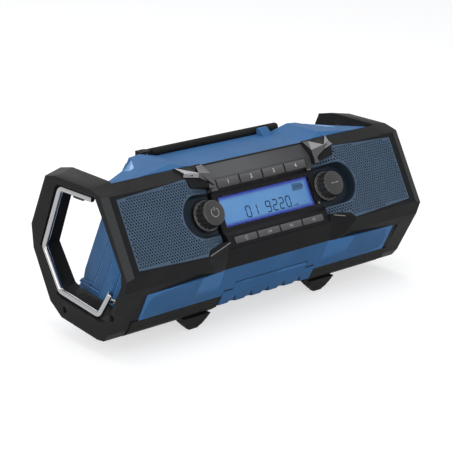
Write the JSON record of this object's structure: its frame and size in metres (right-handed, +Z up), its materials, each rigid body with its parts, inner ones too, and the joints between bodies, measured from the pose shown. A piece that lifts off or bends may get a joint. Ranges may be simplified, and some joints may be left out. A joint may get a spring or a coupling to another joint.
{
  "type": "jobsite radio",
  "caption": "Jobsite radio: faceted housing between two handle frames, sloping display with keys, knobs, speaker grilles, port cover, folding aerial and wire hook.",
  "frame": {"origin": "on the ground, in the middle of the length and of the depth", "axes": "+X along the length to the right-hand end as seen from the front, the display faces -Y, +Z up"},
  "size_m": [0.38, 0.1561, 0.1636],
  "materials": {
    "housing_blue": "satin",
    "frame_black": "satin",
    "grille_metal": "matt",
    "panel_grey": "satin",
    "key_grey": "satin",
    "knob_black": "satin",
    "rubber_black": "matt",
    "keymat_rubber": "matt",
    "inner_black": "matt",
    "wire_steel": "polished",
    "screw_steel": "satin",
    "terminal_brass": "satin",
    "lens_clear": "polished",
    "lcd_blue": "polished",
    "light_guide": "satin",
    "board_green": "satin",
    "basket_steel": "matt",
    "cone_paper": "matt",
    "magnet_iron": "matt"
  },
  "bodies": {
    "housing": {"antenna_base": "inner_black", "antenna_pin": "wire_steel", "aux_socket": "inner_black", "battery_bay": "inner_black", "battery_terminals": "terminal_brass", "control_panel": "panel_grey", "dc_socket": "inner_black", "foot_pads": "rubber_black", "frame_screws": "screw_steel", "front_bezel": "frame_black", "front_housing": "housing_blue", "function_keymat": "keymat_rubber", "hook_clip": "inner_black", "hook_keeper": "wire_steel", "housing_screws": "screw_steel", "lcd_backlight": "light_guide", "lcd_glass": "lcd_blue", "lcd_lens": "lens_clear", "left_base_bumper": "rubber_black", "left_end_frame": "frame_black", "left_grille": "grille_metal", "left_rear_foot": "rubber_black", "left_speaker_basket": "basket_steel", "left_speaker_cone": "cone_paper", "left_speaker_magnet": "magnet_iron", "main_board": "board_green", "port_box": "inner_black", "port_cover_pin": "wire_steel", "preset_keymat": "keymat_rubber", "rear_housing": "housing_blue", "right_base_bumper": "rubber_black", "right_end_frame": "frame_black", "right_grille": "grille_metal", "right_rear_foot": "rubber_black", "right_speaker_basket": "basket_steel", "right_speaker_cone": "cone_paper", "right_speaker_magnet": "magnet_iron", "speaker_baffle": "inner_black", "tuning_encoder_body": "inner_black", "usb_socket": "inner_black", "volume_encoder_body": "inner_black"},
    "hanging_hook": {"hanging_hook": "wire_steel"},
    "port_cover": {"port_cover": "housing_blue"},
    "antenna": {"antenna": "rubber_black"},
    "volume_rotor": {"volume_encoder_rotor": "wire_steel"},
    "volume_knob": {"volume_knob": "knob_black", "volume_shaft": "wire_steel"},
    "tuning_rotor": {"tuning_encoder_rotor": "wire_steel"},
    "tuning_knob": {"tuning_knob": "knob_black", "tuning_shaft": "wire_steel"},
    "preset_key_1": {"preset_key_1": "key_grey"},
    "preset_key_2": {"preset_key_2": "key_grey"},
    "preset_key_3": {"preset_key_3": "key_grey"},
    "preset_key_4": {"preset_key_4": "key_grey"},
    "function_key_1": {"function_key_1": "key_grey"},
    "function_key_2": {"function_key_2": "key_grey"},
    "function_key_3": {"function_key_3": "key_grey"},
    "function_key_4": {"function_key_4": "key_grey"}
  },
  "joints": [
    {"name": "hook_swing", "type": "hinge", "parent": "housing", "child": "hanging_hook", "pos_m": [-0.187, 0, 0.1464], "axis": [0, 1, 0], "range_deg": [0, 80]},
    {"name": "port_cover_hinge", "type": "hinge", "parent": "housing", "child": "port_cover", "pos_m": [0, -0.0544, 0.0424], "axis": [-1, 0, 0], "range_deg": [0, 110]},
    {"name": "antenna_fold", "type": "hinge", "parent": "housing", "child": "antenna", "pos_m": [-0.085, 0.0325, 0.1594], "axis": [0, -1, 0], "range_deg": [0, 90]},
    {"name": "volume_turn", "type": "hinge", "parent": "housing", "child": "volume_rotor", "pos_m": [-0.0774, -0.0592, 0.11939], "axis": [0, -0.8817, 0.4718], "continuous": true},
    {"name": "volume_push", "type": "slide", "parent": "volume_rotor", "child": "volume_knob", "axis": [0, 0.8817, -0.4718], "range_m": [0, 0.001], "stiffness_N_per_m": 2500, "springref_m": -0.0005},
    {"name": "tuning_turn", "type": "hinge", "parent": "housing", "child": "tuning_rotor", "pos_m": [0.0774, -0.0592, 0.11939], "axis": [0, -0.8817, 0.4718], "continuous": true},
    {"name": "tuning_push", "type": "slide", "parent": "tuning_rotor", "child": "tuning_knob", "axis": [0, 0.8817, -0.4718], "range_m": [0, 0.001], "stiffness_N_per_m": 2500, "springref_m": -0.0005},
    {"name": "preset_press_1", "type": "slide", "parent": "housing", "child": "preset_key_1", "axis": [0, 0.8817, -0.4718], "range_m": [0, 0.001], "stiffness_N_per_m": 1200, "springref_m": -0.0005},
    {"name": "preset_press_2", "type": "slide", "parent": "housing", "child": "preset_key_2", "axis": [0, 0.8817, -0.4718], "range_m": [0, 0.001], "stiffness_N_per_m": 1200, "springref_m": -0.0005},
    {"name": "preset_press_3", "type": "slide", "parent": "housing", "child": "preset_key_3", "axis": [0, 0.8817, -0.4718], "range_m": [0, 0.001], "stiffness_N_per_m": 1200, "springref_m": -0.0005},
    {"name": "preset_press_4", "type": "slide", "parent": "housing", "child": "preset_key_4", "axis": [0, 0.8817, -0.4718], "range_m": [0, 0.001], "stiffness_N_per_m": 1200, "springref_m": -0.0005},
    {"name": "function_press_1", "type": "slide", "parent": "housing", "child": "function_key_1", "axis": [0, 0.8817, -0.4718], "range_m": [0, 0.001], "stiffness_N_per_m": 1200, "springref_m": -0.0005},
    {"name": "function_press_2", "type": "slide", "parent": "housing", "child": "function_key_2", "axis": [0, 0.8817, -0.4718], "range_m": [0, 0.001], "stiffness_N_per_m": 1200, "springref_m": -0.0005},
    {"name": "function_press_3", "type": "slide", "parent": "housing", "child": "function_key_3", "axis": [0, 0.8817, -0.4718], "range_m": [0, 0.001], "stiffness_N_per_m": 1200, "springref_m": -0.0005},
    {"name": "function_press_4", "type": "slide", "parent": "housing", "child": "function_key_4", "axis": [0, 0.8817, -0.4718], "range_m": [0, 0.001], "stiffness_N_per_m": 1200, "springref_m": -0.0005}
  ]
}
